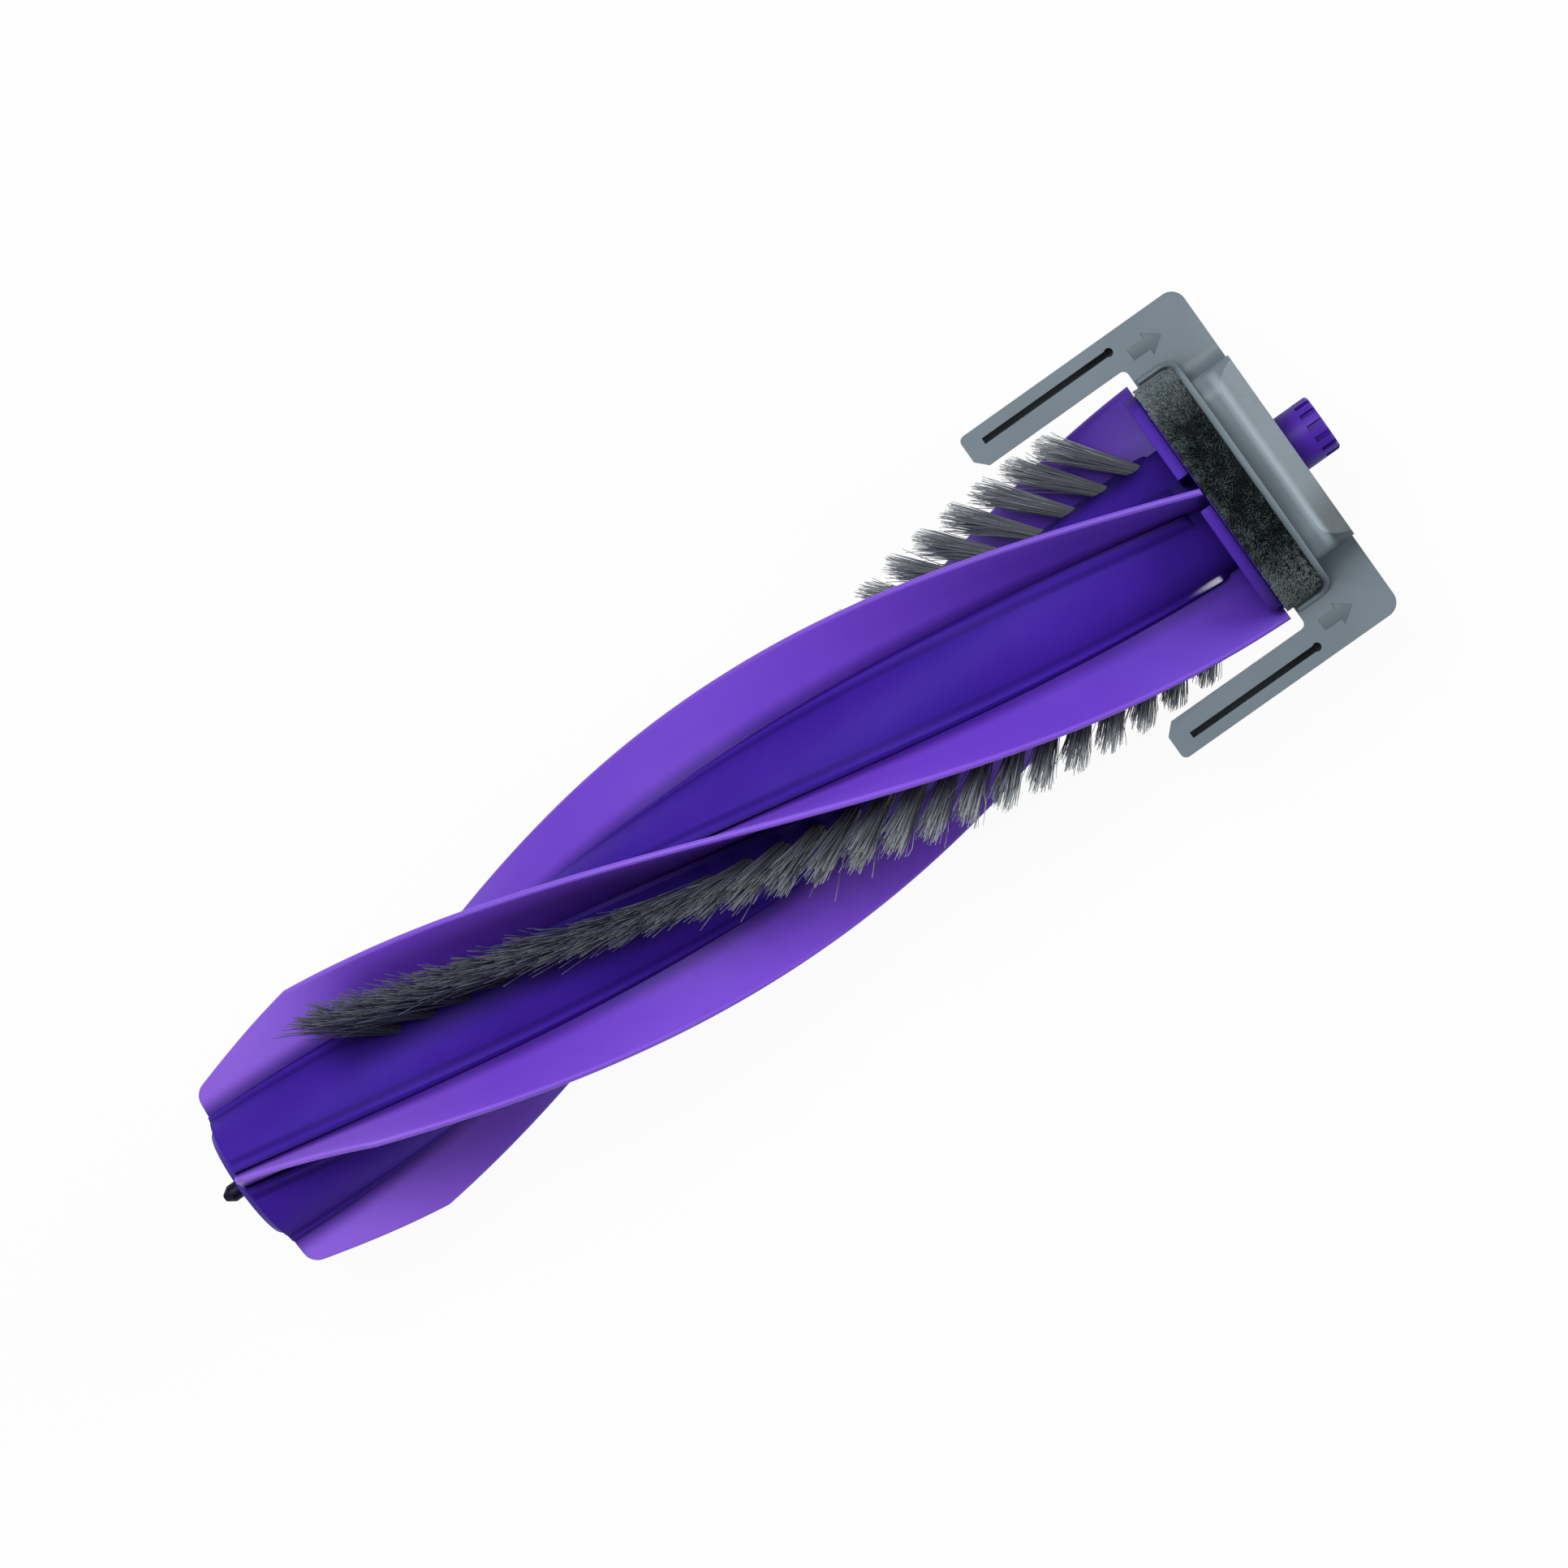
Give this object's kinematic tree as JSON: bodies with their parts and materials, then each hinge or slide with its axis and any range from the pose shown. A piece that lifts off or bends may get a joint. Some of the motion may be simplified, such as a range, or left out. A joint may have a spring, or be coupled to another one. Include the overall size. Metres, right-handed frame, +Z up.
{
  "type": "robot vacuum roller brush",
  "caption": "Twisted roller brush with soft helical fins and leaning tuft rows, turning in a grey end bracket with slotted arms and a pile strip.",
  "frame": {"origin": "on the roller's axis, at the idle hub face that the idle pin stands out of", "axes": "+X along the roller's axis towards the drive stub, +Z up from the bracket's flat foot"},
  "size_m": [0.1901, 0.055, 0.0428],
  "materials": {
    "core_plastic": "smooth moulded plastic, deep purple",
    "fin_rubber": "soft satin rubber, purple",
    "bristle": "nylon filament, dark grey with pale frayed tips",
    "staple_wire": "flat steel staple wire",
    "pin_steel": "dark ground steel",
    "bearing_bronze": "sintered bronze",
    "washer_plastic": "natural slippery plastic",
    "bracket_plastic": "fine-textured moulded plastic, blue grey",
    "pile": "dense short pile, near black"
  },
  "bodies": {
    "bracket": {"end_bracket": "bracket_plastic", "pile_strip": "pile", "journal_bush": "bearing_bronze"},
    "roller": {"roller_core": "core_plastic", "wiper_fin_1": "fin_rubber", "wiper_fin_2": "fin_rubber", "wiper_fin_3": "fin_rubber", "wiper_fin_4": "fin_rubber", "bristle_row_1": "bristle", "bristle_row_2": "bristle", "tuft_anchors_1": "staple_wire", "tuft_anchors_2": "staple_wire", "idle_end_cap": "core_plastic", "idle_pin": "pin_steel", "drive_coupling": "core_plastic", "thrust_washer": "washer_plastic", "retaining_ring": "pin_steel"}
  },
  "joints": [
    {"name": "roller_spin", "type": "hinge", "parent": "bracket", "child": "roller", "pos_m": [0.174, 0, 0], "axis": [1, 0, 0], "continuous": true}
  ]
}
